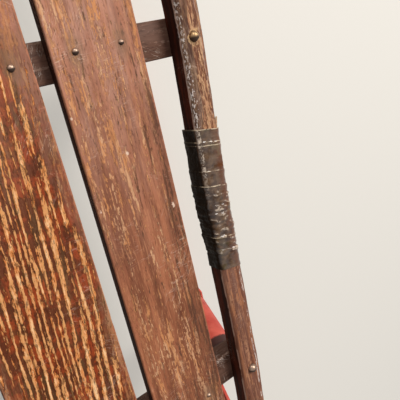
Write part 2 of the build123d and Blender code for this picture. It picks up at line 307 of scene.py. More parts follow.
class OldWood(Finish):
    """An old varnished wood: each method adds a layer over those before it.

    The last number given to grain and blotch only picks a pattern of its own.
    """

    def __init__(self, name, look, turn=0.0):
        super().__init__(name, look["shine"])
        self.place = self.coordinates(turn)
        self.look = look
        figure = self.grain(look["figure_width"], look["figure_length"], 0)
        self.body = self.mix(self.spread(figure, 0.38, 0.62), look["dark"], look["light"])
        self.fibre = self.grain(0.0016, 0.014, 1)
        self.speckle = self.grain(0.0018, 0.0050, 17)
        self.height = self.maths("MULTIPLY", self.fibre, 0.5)
        self.rough = self.times_plus(figure, 0.12, look["roughness"])

    def grain(self, width, length, pattern):
        return self.grain_lines(self.place, width, length, self.look["seed"] + pattern)

    def blotch(self, size, pattern):
        return self.patches(self.place, size, 3.0, self.look["seed"] + pattern)

    def lay(self, mask, tint, share=1.0, dull=0.0, raise_by=0.0):
        """Lays a share of a tint where the mask is, and makes the wood duller and prouder there."""
        mask = super().lay(mask, tint, share)
        if dull:
            self.rough = self.times_plus(mask, dull, self.rough)
        if raise_by:
            self.height = self.times_plus(mask, raise_by, self.height)

    def haze(self, amount=1.0):
        """Bloom on the varnish, in long soft clouds."""
        cloud = self.times_plus(self.spread(self.grain(0.012, 0.07, 2), 0.40, 0.62), 0.6, 0.4)
        self.lay(self.product(cloud, self.look["haze_share"]), self.look["haze"], amount, dull=0.12)

    def bare(self, value, level, share, tint, softness, raise_by):
        """Bare wood where the value passes the level, with a dark rim round it: the varnish's edge round the
        streaks, and painted shade beside the raised rings.
        """
        rim = self.cover(value, level - 0.05, 0.035)
        self.lay(self.product(rim, share), self.look["rim"], 0.6)
        self.lay(self.cover(value, level, softness), tint, share, dull=0.2, raise_by=raise_by)

    def streaks(self):
        """Dashes of bare wood along the grain, crowded into long columns."""
        look = self.look
        dash = self.ragged(self.grain(0.0030, 0.030, 15), self.speckle, 0.95)
        column = self.grain(look["streak_width"], look["streak_length"], 3)
        dash = self.ragged(dash, column, look["crowding"])
        tone = self.spread(self.grain(0.006, 0.03, 19), 0.44, 0.58)
        tint = self.mix(tone, look["streak"], look["streak_pale"])
        self.bare(dash, look["streak_level"], look["streak_share"], tint, 0.06, raise_by=0.3)

    def fibres(self):
        """Fine pale fibres, darker lines between them and dark pores."""
        look = self.look
        line, pore = self.grain(0.0034, 0.045, 16), self.grain(0.0015, 0.010, 4)
        self.lay(self.product(self.spread(line, 0.48, 0.36), look["pore_share"]), look["pore"], 0.6)
        self.lay(self.spread(self.fibre, 0.50, 0.66), look["fibre"], look["fibre_share"])
        self.lay(self.spread(pore, 0.42, 0.34), look["pore"], look["pore_share"], raise_by=-0.5)

    def raised_rings(self):
        """Growth rings that stand proud and are rubbed pale, with dark varnish left between them."""
        look, level = self.look, self.look["ring_level"]
        wear = self.attribute("wear")
        phase = self.ragged(self.attribute("rings"), self.grain(0.0030, 0.030, 5), 0.5)
        wave = self.maths("SINE", self.maths("MULTIPLY", phase, 2 * pi))
        value = self.times_plus(wave, look["ring_share"], self.grain(0.0040, 0.060, 6))
        value = self.ragged(self.ragged(value, self.speckle, 0.6), self.fibre, 0.5)
        value = self.times_plus(wear, 0.3, self.maths("SUBTRACT", value, 0.3))
        valley = self.mix(self.spread(self.blotch(0.014, 7), 0.44, 0.58), look["valley"], look["valley_red"])
        valley = self.mix(self.spread(self.grain(0.007, 0.04, 18), 0.52, 0.62), valley, look["valley_grey"])
        self.lay(wear, valley, look["valley_share"])
        tone = self.spread(self.grain(0.004, 0.02, 8), 0.42, 0.58)
        ridge = self.mix(tone, look["ridge"], look["ridge_warm"])
        crest = self.product(self.spread(value, level + 0.04, level + 0.18), tone)
        ridge = self.mix(crest, ridge, look["ridge_pale"])
        # Bare ridges, with painted shade in the dark rim laid beside each of them
        self.bare(value, level, 1.0, ridge, 0.04, raise_by=0.9)
        speck = self.cover(self.grain(0.0019, 0.0050, 28), 0.57, 0.03)
        self.lay(self.product(speck, wear), look["rim"], look["speck_share"])

    def chips(self, places, tint):
        """Small pale chips at places on the deck, longer along the grain than across it."""
        uneven = self.blotch(0.003, 19)
        for x, y, radius in places:
            away = self.vectors("MULTIPLY", self.vectors("SUBTRACT", self.place, (x, y, 0)), (1, 0.6, 0))
            distance = self.ragged(self.vectors("LENGTH", away, output="Value"), uneven, 4 * radius)
            self.lay(self.spread(distance, radius, 0.6 * radius), tint)

    def dark_sides(self, depth):
        """The sides keep the old dark varnish below the given depth."""
        under = self.ragged(self.attribute("depth"), self.fibre, 0.0020)
        tone = self.spread(self.grain(0.007, 0.05, 25), 0.42, 0.62)
        tint = self.mix(tone, self.look["side"], self.look["side_red"])
        self.lay(self.spread(under, depth - 0.0002, depth + 0.0002), tint, dull=0.2)

    def rubbed_edges(self, distance, width):
        """A rubbed line of bare wood within a width of the edge, by the distance from it."""
        distance = self.ragged(distance, self.blotch(0.007, 9), 4 * width)
        mask = self.spread(distance, width * 1.3, width * 0.5)
        self.lay(mask, self.look["rubbed"], self.look["rub_share"], dull=0.1)

    def scratches(self):
        """Hair scratches in three directions."""
        look = self.look
        for layer, (turn, size) in enumerate(((0.5, 0.035), (-1.1, 0.025), (1.45, 0.05))):
            hair = self.group("hair_scratches", Vector=self.place, Turn=turn, Size=size,
                              Seed=look["seed"] + 10 + layer)
            self.lay(hair, look["scratch"], look["scratch_share"])

    def finished(self):
        return super().finished(self.rough, self.height, strength=0.55, relief=0.0005)


def make_look(base, tints, **values):
    """How a wood looks: as the base, but with these tints and values."""
    return {**base, **values, **{name: colour(*tint) for name, tint in tints.items()}}


# Shares and levels run from 0 to 1, and a lower level covers more. Widths and lengths are in metres.
deck_look = make_look(
    {}, dict(
        dark=(118, 68, 46), light=(162, 100, 70), haze=(196, 148, 128),
        streak=(206, 140, 90), streak_pale=(214, 164, 124), rim=(88, 48, 32),
        fibre=(196, 138, 98), pore=(84, 44, 30),
        valley=(106, 60, 42), valley_red=(128, 72, 56), valley_grey=(84, 54, 40),
        ridge=(206, 146, 100), ridge_warm=(196, 124, 76), ridge_pale=(222, 170, 128),
        side=(42, 20, 12), side_red=(66, 32, 20), rubbed=(190, 124, 92),
        stain=(128, 100, 78), scratch=(216, 186, 164)),
    seed=1211.0, roughness=0.42, shine=0.12, figure_width=0.012, figure_length=0.14, haze_share=0.66,
    streak_width=0.0090, streak_length=0.10, crowding=1.1, streak_level=0.597, streak_share=0.85,
    fibre_share=0.45, pore_share=0.5, ring_share=0.05, ring_level=0.62, valley_share=0.15, speck_share=0.3,
    rub_share=0.4, scratch_share=0.4)
centre_look = make_look(
    deck_look, dict(
        dark=(108, 58, 38), light=(150, 92, 66), rim=(66, 29, 12),
        valley=(84, 37, 15), valley_red=(144, 57, 23), valley_grey=(70, 46, 23),
        ridge=(212, 150, 94), ridge_warm=(206, 124, 64), ridge_pale=(236, 190, 140)),
    seed=323.0, haze_share=0.5, streak_share=0.6, ring_share=0.13, ring_level=0.512, valley_share=0.94,
    speck_share=0.65)
rail_look = make_look(
    deck_look, dict(
        dark=(98, 52, 36), light=(142, 88, 62), haze=(132, 98, 84),
        streak=(178, 118, 80), streak_pale=(190, 140, 106), fibre=(186, 132, 98),
        worn_dark=(88, 50, 32), worn_light=(220, 176, 132), grime=(106, 84, 72), grime_dark=(60, 42, 34),
        fleck=(238, 228, 220), halo=(206, 168, 122), outer=(84, 50, 36),
        side=(44, 17, 8), side_red=(84, 34, 18), rubbed=(206, 168, 148)),
    seed=37.0, figure_width=0.005, figure_length=0.10, haze_share=0.6,
    streak_width=0.004, streak_length=0.06, crowding=0.8, streak_level=0.61, streak_share=0.6)
bench_look = make_look(
    deck_look, dict(
        dark=(66, 38, 26), light=(92, 60, 46), haze=(118, 92, 80),
        streak=(134, 98, 80), streak_pale=(150, 120, 104), rim=(58, 34, 24),
        fibre=(122, 90, 74), pore=(40, 20, 12), rubbed=(186, 160, 142), scratch=(204, 188, 176)),
    seed=51.0, haze_share=0.4, fibre_share=0.35, streak_level=0.66, streak_share=0.6,
    rub_share=0.9, scratch_share=0.9)
bar_look = make_look(deck_look, {}, seed=67.0)
splinter_look = make_look(rail_look, dict(dark=(140, 122, 84), light=(204, 182, 140)))


def deck_finish(name, look, slant=0.0):
    """A deck board: hazy varnish with painted sheen, bare streaks, raised rings, dark sides and rubbed edges.
    """
    wood = OldWood(name, look, turn=slant)
    dusk, rivet, inset, depth = map(wood.attribute, ("dusk", "rivet", "inset", "depth"))
    # Painted sheen with the bloom, laid in the amount that each board gives along its length
    wood.haze(wood.attribute("bloom_and_sheen"))
    wood.streaks()
    wood.fibres()
    wood.raised_rings()
    wood.lay(dusk, look["valley_grey"], 0.35)
    dark_line = wood.ragged(wood.grain(0.0034, 0.05, 20), wood.speckle, 0.5)
    dark_line = wood.times_plus(dusk, 0.16, dark_line)
    wood.lay(wood.cover(dark_line, 0.64, 0.04), look["valley_grey"], 0.8)
    from_rivet = wood.ragged(rivet, wood.grain(0.004, 0.012, 14), 0.009)
    wood.lay(wood.spread(from_rivet, 0.0095, 0.003), look["stain"], 0.5)
    wood.dark_sides(0.0020)
    wood.rubbed_edges(wood.maths("ADD", inset, depth), 0.0016)
    wood.chips(board_chips, look["scratch"])
    wood.scratches()
    return wood.finished()


def rail_finish():
    """The rails: worn bare and grimy towards the rear, still varnished towards the front."""
    look = rail_look
    wood = OldWood("rail_wood_worn", look)
    wear, inward, depth, halo = map(wood.attribute, ("wear", "inward", "depth", "halo"))
    bare = wood.ragged(wood.grain(0.0034, 0.030, 15), wood.speckle, 0.9)
    bare = wood.mix(wood.spread(bare, 0.44, 0.62), look["worn_dark"], look["worn_light"])
    wood.lay(wear, bare, 0.9, dull=0.1)
    kept = wood.maths("SUBTRACT", 1.0, wear)
    wood.haze(kept)
    wood.streaks()
    wood.fibres()
    line = wood.grain(0.0021, 0.09, 31)
    wood.lay(wood.product(wood.spread(line, 0.50, 0.40), kept), look["pore"], 0.65)
    wood.lay(wood.product(wood.spread(line, 0.56, 0.66), kept), look["streak"], 0.5)

    # The inner half is grimy where hands slid along it, and flecked where its arris has chipped
    edge_of_grime = wood.ragged(inward, wood.grain(0.004, 0.035, 21), 0.02)
    grime = wood.product(wood.spread(edge_of_grime, 0.0026, 0.0036), wear)
    dirt = wood.mix(wood.spread(wood.grain(0.0022, 0.014, 22), 0.42, 0.56), look["grime"], look["grime_dark"])
    wood.lay(grime, dirt, 0.95, dull=0.1)
    near_arris = wood.spread(wood.ragged(inward, wood.grain(0.005, 0.03, 27), 0.009), 0.0066, 0.0110)
    fleck = wood.times_plus(near_arris, 0.10, wood.grain(0.0016, 0.0032, 26))
    fleck = wood.product(wood.cover(fleck, 0.635, 0.025), near_arris)
    wood.lay(wood.product(fleck, wear), look["fleck"], 0.9, dull=0.1)

    # The outer arris is dark behind the tape, and chipped white ahead of it
    outer = wood.spread(wood.ragged(inward, wood.grain(0.003, 0.03, 23), 0.008), -0.0098, -0.0108)
    wood.lay(outer, look["outer"], 0.8)
    chipped = wood.cover(wood.grain(0.0022, 0.010, 24), 0.53, 0.02)
    ahead = wood.product(wood.spread(inward, -0.0060, -0.0072), wood.spread(inward, -0.0094, -0.0084), kept)
    wood.lay(wood.product(chipped, ahead), look["fleck"], 0.5)
    wood.dark_sides(0.0043)
    # A pale line along the inner arris: rubbed wear, with painted highlight where light catches the round
    rubbed = wood.product(wood.near(depth, rail_arris_depth, 0.0012, 0.0004), wood.spread(inward, 0.004, 0.008),
                          wood.spread(wood.grain(0.004, 0.016, 18), 0.38, 0.5))
    wood.lay(rubbed, look["rubbed"], 0.7)
    from_bolt = wood.ragged(halo, wood.blotch(0.005, 14), 0.013)
    wood.lay(wood.product(wood.spread(from_bolt, 0.0072, 0.0058), wear), look["halo"], 0.8, dull=0.15)
    wood.scratches()
    return wood.finished()


def bar_finish(name, look):
    """Wood across the sled: benches and the steering bar."""
    wood = OldWood(name, look, turn=pi / 2)
    wood.haze()
    wood.streaks()
    wood.fibres()
    edge = wood.product(wood.turned_edges(0.002), wood.spread(wood.blotch(0.008, 9), 0.36, 0.56))
    wood.lay(edge, look["rubbed"], look["rub_share"], dull=0.1)
    wood.scratches()
    return wood.finished()


def red_enamel():
    """Faded red paint on steel, chipped to dark rust at edges, bare on the sole of the runners, with painted
    shade on the knees under the benches.
    """
    steel = Finish("red_enamel", shine=0.2)
    place = steel.coordinates()
    height_over_floor = steel.node("ShaderNodeSeparateXYZ", {0: place}).outputs["Z"]
    fade = steel.patches(place, 0.04, 3.0, 1.0)
    grit = steel.patches(place, 0.004, 5.0, 2.0)
    spot = steel.patches(place, 0.013, 6.0, 4.0)
    grime = steel.patches(place, 0.09, 5.0, 6.0)
    edge_chip = steel.cover(steel.product(steel.turned_edges(0.0016), grit), 0.42, 0.03)
    chip = steel.maths("MAXIMUM", edge_chip, steel.cover(spot, 0.69, 0.01))
    sole = steel.spread(steel.ragged(height_over_floor, grit, 0.004), 0.0042, 0.0022)
    rust = steel.mix(steel.spread(grit, 0.35, 0.65), colour(52, 30, 22), colour(112, 62, 38))
    worn = steel.mix(steel.spread(grit, 0.4, 0.6), colour(126, 118, 110), colour(92, 66, 50))
    steel.body = steel.mix(steel.spread(fade, 0.35, 0.7), colour(190, 62, 48), colour(220, 100, 82))
    steel.lay(steel.spread(grime, 0.5, 0.75), colour(110, 66, 54), 0.4)
    steel.lay(chip, rust)
    # Painted shade: the knees are laid near black just under their benches, where the benches shade them
    shade_under_bench = steel.spread(steel.ragged(height_over_floor, grit, 0.006), 0.138, 0.142)
    steel.lay(steel.product(shade_under_bench, steel.attribute("knee")), colour(34, 14, 8), 0.95)
    steel.lay(sole, worn)
    steel.join(steel.product(sole, 0.7), steel.surface["Metallic"])
    bare = steel.maths("MAXIMUM", chip, sole)
    rough = steel.times_plus(bare, 0.3, steel.times_plus(fade, 0.25, 0.28))
    height = steel.times_plus(grit, 0.35, steel.maths("MULTIPLY", bare, -1.0))
    return steel.finished(rough, height, strength=0.5, relief=0.0004)


def aged_metal(name, clean, tarnish, share, polish):
    """Bare metal with tarnish in patches, which take about the given share of it, and painted shade on each
    head's side towards the sled's front.
    """
    metal = Finish(name)
    place = metal.coordinates()
    patch = metal.patches(place, 0.005, 5.0, 9.0)
    tone = metal.patches(place, 0.0022, 3.0, 8.0)
    # Painted shade: a head's side towards the sled's front is laid darker
    front_shade = metal.spread(metal.attribute("foot"), 0.34, 0.64)
    tarnish_and_shade = metal.maths("MAXIMUM", metal.cover(patch, 0.68 - 0.36 * share, 0.1), front_shade)
    darker = tuple(0.35 * v for v in tarnish[:3]) + (1.0,)
    # The tarnish colour, darker in patches and on the side with painted shade
    dirt = metal.mix(metal.maths("MAXIMUM", metal.spread(tone, 0.35, 0.65), front_shade), tarnish, darker)
    metal.body = metal.mix(tarnish_and_shade, clean, dirt)
    metal.join(metal.times_plus(tarnish_and_shade, -0.7, 1.0), metal.surface["Metallic"])
    return metal.finished(metal.times_plus(tarnish_and_shade, 0.3, polish), tone, strength=0.35, relief=0.0002)


def binding_tape():
    """Old black cloth tape: brown-grey and satin, dusty along each lap, shiny where it is tight."""
    tape = Finish("binding_tape", shine=0.06)
    tape.surface["Coat Roughness"].default_value = 0.16
    place = tape.coordinates()
    wrinkle, lap, inward, wound, depth = map(tape.attribute, ("wrinkle", "lap", "inward", "wound", "depth"))
    tone = tape.patches(place, 0.010, 4.0, 5.0)
    olive = tape.patches(place, 0.016, 2.0, 7.0)
    grit = tape.patches(place, 0.003, 3.0, 2.0)
    tape.body = tape.mix(tape.spread(tone, 0.36, 0.62), colour(62, 43, 31), colour(100, 76, 56))
    tape.lay(tape.spread(tape.ragged(inward, tone, 0.014), 0.001, -0.009), colour(98, 54, 26), 0.8)
    tape.lay(tape.spread(olive, 0.56, 0.66), colour(104, 92, 62), 0.4)
    # Painted shade in the hollows of the wrinkles, and a pale line on their crests that is rubbed wear with
    # painted highlight
    tape.lay(tape.spread(wrinkle, 0.45, 0.1), colour(54, 38, 28), 0.5)
    rubbed = tape.product(tape.spread(wrinkle, 0.66, 0.95), tape.spread(grit, 0.40, 0.52))
    tape.lay(rubbed, colour(198, 178, 158), 0.8)
    # The dark side comes further up towards the sled's front
    down_side = tape.times_plus(wound, 0.022, depth)
    tape.lay(tape.spread(down_side, 0.0035, 0.0065), colour(36, 24, 14))
    # Dust shows along the laps, most of it on top
    dusty = tape.product(tape.spread(lap, 0.35, 0.9), tape.spread(grit, 0.36, 0.5))
    on_top = tape.spread(depth, 0.009, 0.005)
    dusty = tape.times_plus(on_top, tape.product(dusty, 0.6), tape.product(dusty, 0.15))
    tape.lay(dusty, colour(222, 200, 168))

    # Painted glints: pale spots on the inner round, mostly near the rear end
    glint_pattern = tape.patches(place, 0.0022, 3.0, 21.0)
    inner_round = tape.near(inward, tape_inner_round, 0.0020, 0.0006)
    painted_glints = tape.product(tape.spread(glint_pattern, 0.47, 0.54), inner_round, tape.spread(wound, 0.08, 0.02))
    tape.lay(painted_glints, colour(214, 196, 176), 0.85)
    gloss = tape.patches(place, 0.01, 3.0, 12.0)
    polished = tape.product(tape.spread(gloss, 0.66, 0.46), tape.spread(down_side, 0.0075, 0.0045))
    tape.join(polished, tape.surface["Coat Weight"])
    rough = tape.times_plus(dusty, 0.35, tape.times_plus(tape.spread(gloss, 0.35, 0.65), 0.2, 0.3))
    crease = tape.grain_lines(tape.coordinates(pi / 2), 0.0035, 0.012, 14.0)
    height = tape.times_plus(crease, 1.5, tape.product(gloss, 0.6))
    return tape.finished(rough, height, strength=0.8, relief=0.0012)


make_groups()
finishes = {
    "centre": deck_finish("raised_grain_wood", centre_look, centre_slant),
    "deck": deck_finish("varnished_deck_wood", deck_look),
    "rail": rail_finish(),
    "bench": bar_finish("bench_wood_dusky", bench_look),
    "bar": bar_finish("bar_wood_worn", bar_look),
    "splinter": bar_finish("splinter_wood", splinter_look),
    "red": red_enamel(),
    "steel": aged_metal("aged_steel", colour(176, 148, 128), colour(100, 72, 54), 0.45, 0.42),
    "brass": aged_metal("dull_brass", colour(186, 152, 110), colour(92, 58, 24), 0.3, 0.3),
    "nickel": aged_metal("worn_nickel", colour(158, 132, 114), colour(96, 66, 48), 0.35, 0.34),
    "tape": binding_tape(),
}


# Meshes


def to_mesh(bm, name):
    """The finished bmesh as a mesh."""
    mesh = bpy.data.meshes.new(name)
    bm.to_mesh(mesh)
    bm.free()
    return mesh


def new_object(name, data):
    made = bpy.data.objects.new(name, data)
    bpy.context.scene.collection.objects.link(made)
    return made


def make_piece(bm, name, finish, body=None, stands_for=(), smooth=40):
    """Turns a finished bmesh into a piece that rides on its body and stands for its CAD nodes."""
    mesh = to_mesh(bm, name)
    mesh.shade_smooth()
    mesh.set_sharp_from_angle(angle=radians(smooth))
    mesh.materials.append(finishes[finish])
    piece = new_object(name, mesh)
    if body:
        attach(piece, body)
    if stands_for:
        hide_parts(*stands_for)
    return piece


def round_off(bm, edges, radius, segments):
    bmesh.ops.bevel(bm, geom=edges, offset=radius, segments=segments, profile=0.5, affect="EDGES",
                    clamp_overlap=True, material=-1)


def cad_copy(node, rounding=0.0):
    """A node's mesh with its doubles merged, its flat faces whole again and its sharp edges rounded."""
    bm = bmesh.new()
    bm.from_mesh(nodes[node].data)
    bmesh.ops.remove_doubles(bm, verts=bm.verts, dist=0.00001)
    bmesh.ops.dissolve_limit(bm, angle_limit=radians(0.5), verts=bm.verts, edges=bm.edges)
    if rounding:
        sharp = [e for e in bm.edges if e.is_manifold and e.calc_face_angle(0) > radians(35)]
        round_off(bm, sharp, rounding, segments=2)
    return bm


def cut_across(bm, axis, step):
    """Cuts a mesh into equal slices along an axis, so that it can take dents."""
    places = [v.co[axis] for v in bm.verts]
    low, high = min(places), max(places)
    count = max(round((high - low) / step), 1)
    normal = Vector([float(n == axis) for n in range(3)])
    for n in range(1, count):
        everything = bm.verts[:] + bm.edges[:] + bm.faces[:]
        bmesh.ops.bisect_plane(bm, geom=everything, dist=1e-7,
                               plane_co=normal * (low + (high - low) * n / count), plane_no=normal)


def layers(bm, *names):
    return [bm.verts.layers.float.new(name) for name in names]


# Where each bench is fastened: a rivet each side of the middle of every board, and a bolt in each rail
bench_names = ["bench_1", "bench_2", "bench_3", "bench_4", "nose_bench"]
bench_ys = {bench: sum(corner.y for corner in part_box(bench)) / 2 for bench in bench_names}
wander = random.Random(5)


def fastener_y(bench, place):
    """Y of a rivet or bolt: as the photograph has it, or a little off the middle of the bench."""
    drift = wander.uniform(-rivet_drift, rivet_drift)
    return bench_ys[bench] + seen_drifts.get((bench, place), drift)


rivet_places = [(x, fastener_y(bench, x)) for bench in bench_names
                for rivet_x in (centre_rivet_x, *side_rivet_xs) for x in (rivet_x, -rivet_x)]


def growth_phase(x, y, spacing, slant, seed):
    """How many growth rings lie between the board's middle and a place on its top."""
    wide = noise.noise((x / 0.03, y / 0.35, seed))
    near = noise.noise((x / 0.010, y / 0.09, seed + 4.0))
    return (x - slant * y) / spacing + 1.4 * wide + 0.6 * near


def rounded_board(low, high):
    """A board with rounded corners and a soft arris. Its top is a fine grid, so that it can take relief."""
    middle, half = (low + high) / 2, (high - low) / 2
    core_x, core_y = half.x - board_corner, half.y - board_corner
    flat_x, flat_y = half.x - board_arris, half.y - board_arris
    bm = bmesh.new()
    bmesh.ops.create_grid(
        bm, x_segments=round(2 * flat_x / grain_step_across), y_segments=round(2 * flat_y / grain_step_along),
        size=1,
        matrix=Matrix.Translation((middle.x, middle.y, high.z)) @ Matrix.Diagonal((flat_x, flat_y, 1, 1)))

    # The square corners of the grid are drawn in to round ones
    for vert in bm.verts:
        across, along = vert.co.x - middle.x, vert.co.y - middle.y
        over_x, over_y = abs(across) - core_x, abs(along) - core_y
        if over_x > 0 and over_y > 0:
            draw = max(over_x, over_y) / hypot(over_x, over_y)
            vert.co.x = middle.x + copysign(core_x + over_x * draw, across)
            vert.co.y = middle.y + copysign(core_y + over_y * draw, along)

    # The arris, the side and the lower arris are drawn out from the rim, step by step
    turns = [pi / 2 * n / arris_steps for n in range(arris_steps + 1)]
    upper = [(board_arris * (sin(b) - sin(a)), board_arris * (cos(a) - cos(b)))
             for a, b in zip(turns, turns[1:])]
    lower = [(-out, fall) for out, fall in upper[::-1]]
    side = [(0, (high.z - low.z - 2 * board_arris) / side_steps)] * side_steps
    for out, fall in upper + side + lower:
        rim = [edge for edge in bm.edges if edge.is_boundary]
        made = bmesh.ops.extrude_edge_only(bm, edges=rim)["geom"]
        for vert in made:
            if isinstance(vert, bmesh.types.BMVert):
                across, along = vert.co.x - middle.x, vert.co.y - middle.y
                away = Vector((copysign(max(abs(across) - core_x, 0), across),
                               copysign(max(abs(along) - core_y, 0), along), 0)).normalized()
                vert.co += away * out
                vert.co.z -= fall
    bmesh.ops.holes_fill(bm, edges=[edge for edge in bm.edges if edge.is_boundary], sides=0)
    bmesh.ops.recalc_face_normals(bm, faces=bm.faces)
    return bm


def deck_board(node, name, finish, seed, spacing, wear, slant=0.0):
    """A board with raised rings on its top and nicks in its edges. wear(across, y, half) is 0 to 1."""
    low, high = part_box(node)
    middle, half = (low + high) / 2, (high - low) / 2
    core_x, core_y = half.x - board_corner, half.y - board_corner
    bm = rounded_board(low, high)
    rings, worn, inset_layer, depth_layer, rivet, bloom_and_sheen, dusk = layers(
        bm, "rings", "wear", "inset", "depth", "rivet", "bloom_and_sheen", "dusk")
    for vert in bm.verts:
        x, y, z = vert.co
        across, from_sheen_middle = x - middle.x, y - sheen_middle
        over_x, over_y = abs(across) - core_x, abs(y - middle.y) - core_y
        inset = board_corner - hypot(max(over_x, 0), max(over_y, 0)) - min(max(over_x, over_y), 0)
        on_top = high.z - z < 0.0001
        vert[rings] = growth_phase(x, y, spacing, slant, seed)
        vert[worn] = wear(across, y, half.x) if on_top else 0.0
        # Painted sheen with the varnish's bloom: it comes and goes along the sled, strongest at its middle, and
        # the outer edges are darker and greyer away from that middle
        vert[bloom_and_sheen] = (0.5 + 0.5 * cos(2 * pi * from_sheen_middle / sheen_length)) ** 1.5
        outward = copysign(1, middle.x) * across if middle.x else 0.0
        patchy = 0.75 + 0.6 * noise.noise((across / 0.03, y / 0.08, seed + 5.0))
        vert[dusk] = ease(outward, 0.35 * half.x, 0.85 * half.x) * ease(abs(from_sheen_middle), 0.04, 0.14) * patchy
        vert[inset_layer] = inset
        vert[depth_layer] = high.z - z
        # A stain runs further along the grain than across it
        vert[rivet] = min(hypot(x - rx, 0.5 * (y - ry)) for rx, ry in rivet_places)
        if on_top:
            ring = 0.5 + 0.5 * sin(2 * pi * vert[rings])
            broken = ease(noise.noise((x / 0.003, y / 0.02, seed + 8.0)), -0.45, 0.25)
            vert.co.z -= ridge_height * (1 - ring * broken) * vert[worn] * ease(inset, 0.001, 0.004)
            vert.co.z += swell_height * noise.noise((x / 0.03, y / 0.2, seed + 9.0))
        near_edge = 1 - ease(inset + vert[depth_layer], 0.0005, 0.003)
        nick = ease(noise.noise((y / 0.009, x / 0.02, seed + 3.0)), 0.45, 0.75)
        uneven = 0.5 + 0.5 * noise.noise((y / 0.035, z / 0.01, seed))
        if abs(over_x) < board_corner:
            vert.co.x -= copysign(near_edge * (0.0003 * uneven + 0.0007 * nick), across)
    make_piece(bm, name, finish, "sled", [node])


def centre_wear(across, y, half_width):
    """The centre board's rings stand out where riders lay on it, and less along its edges."""
    ahead = ease(-y, 0.02, 0.17) * (1 - ease(-y, 0.55, 0.70))
    behind = 0.85 * ease(y, 0.14, 0.34) * (1 - ease(y, 0.64, 0.75))
    patchy = 0.86 + 0.5 * noise.noise((across / 0.03, y / 0.1, 4.0))
    smooth_edge = 0.004 + 0.011 * ease(abs(y - sheen_middle), 0.22, 0.12) + 0.005 * ease(-y, 0.24, 0.28)
    edge = half_width - smooth_edge + 0.004 * noise.noise((y / 0.05, 1.0, 1.0))
    middle = 1 - 0.62 * ease(abs(across), edge - 0.003, edge + 0.004)
    return min(max(0.5 + 0.5 * max(ahead, behind) * patchy, 0.0), 1.0) * middle


def side_wear(across, y, half_width):
    """The side boards are worn in patches, a little more towards the rider's left."""
    patchy = 0.42 + 0.75 * noise.noise((across / 0.022, y / 0.16, 9.0))
    return min(max(patchy + 0.12 * across / half_width, 0.05), 0.75)


deck_board("board_centre", "centre_board_wood", "centre", 3.0, centre_spacing, centre_wear, centre_slant)
deck_board("board_left", "left_board_wood", "deck", 8.0, side_spacing, side_wear)
deck_board("board_right", "right_board_wood", "deck", 14.0, side_spacing, side_wear)


def rail_line(node):
    """A rail's middle and half width at each of its stations, read from its underside's corners."""
    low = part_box(node)[0]
    stations = {}
    for vert in nodes[node].data.vertices:
        if vert.co.z - low.z < 1e-5:
            stations.setdefault(round(vert.co.y, 4), []).append(vert.co.x)
    return sorted((y, (min(xs) + max(xs)) / 2, (max(xs) - min(xs)) / 2) for y, xs in stations.items())


def middle_at(line, y):
    """The x of a rail's middle at y, straight between its stations."""
    for (y0, x0, _), (y1, x1, _) in zip(line, line[1:]):
        if y <= y1:
            break
    return x0 + (x1 - x0) * (y - y0) / (y1 - y0)


def long_bar(half_width, low, high, round_top, round_bottom, step):
    """A bar along Y at x = 0 with rounded long edges, cut into a grid that can bend and take wear."""
    length = high.y - low.y
    bm = bmesh.new()
    bmesh.ops.create_cube(bm, size=1, matrix=Matrix.Translation((low + high) / 2)
                          @ Matrix.Diagonal((2 * half_width, length, high.z - low.z, 1)))
    for level, radius in ((high.z, round_top), (low.z, round_bottom)):
        rim = [e for e in bm.edges if all(abs(v.co.z - level) < 1e-6 for v in e.verts)
               and abs(e.verts[0].co.x - e.verts[1].co.x) < 1e-6]
        round_off(bm, rim, radius, segments=7)
    along = [e for e in bm.edges if abs(e.verts[0].co.y - e.verts[1].co.y) > length / 2]
    bmesh.ops.subdivide_edges(bm, edges=along, cuts=round(length / step), use_grid_fill=True)
    for axis, count in ((0, 9), (2, 5)):
        wide = [e for e in bm.edges if abs(e.verts[0].co.y - e.verts[1].co.y) < 1e-6
                and abs(e.verts[0].co[axis] - e.verts[1].co[axis]) > 0.008]
        bmesh.ops.subdivide_edges(bm, edges=wide, cuts=count, use_grid_fill=True)
    return bm


rail_bolts = [(node, bench, fastener_y(bench, place))
              for node, place in (("rail_left", "rail"), ("rail_right", "other rail")) for bench in bench_names]


def side_rail(node, name, side, seed):
    """A raised rail, bent to its line, rubbed along the inner round of its top."""
    low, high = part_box(node)
    line = rail_line(node)
    half_width = line[0][2]
    bolt_ys = [y for where, _, y in rail_bolts if where == node]
    bm = long_bar(half_width, Vector((0, low.y, low.z)), Vector((0, high.y, high.z)),
                  rail_round, rail_under_round, rail_step)
    worn, inward_layer, depth_layer, halo = layers(bm, "wear", "inward", "depth", "halo")
    for vert in bm.verts:
        x, y, z = vert.co
        patchy = min(max(0.8 + 0.5 * noise.noise((y / 0.12, 2.0, seed)), 0.4), 1.0)
        vert[worn] = ease(y, rail_kept_y, rail_bare_y) * patchy
        vert[inward_layer] = -side * x
        # The sawn ends are as pale as the top
        at_end = min(y - low.y, high.y - y) < 1e-5
        vert[depth_layer] = 0.0015 if at_end else high.z - z
        vert[halo] = min(hypot(x, y - bolt_y) for bolt_y in bolt_ys)
        dent = 0.00035 * noise.noise((y / 0.05, x / 0.01, seed))
        dent += 0.0002 * noise.noise((y / 0.012, x / 0.005, seed))
        if high.z - z < 0.012:
            vert.co.z += dent
        vert.co.x += side * dent + middle_at(line, y)
    make_piece(bm, name, "rail", "sled", [node])


side_rail("rail_left", "left_rail_wood", 1, 31.0)
side_rail("rail_right", "right_rail_wood", -1, 47.0)


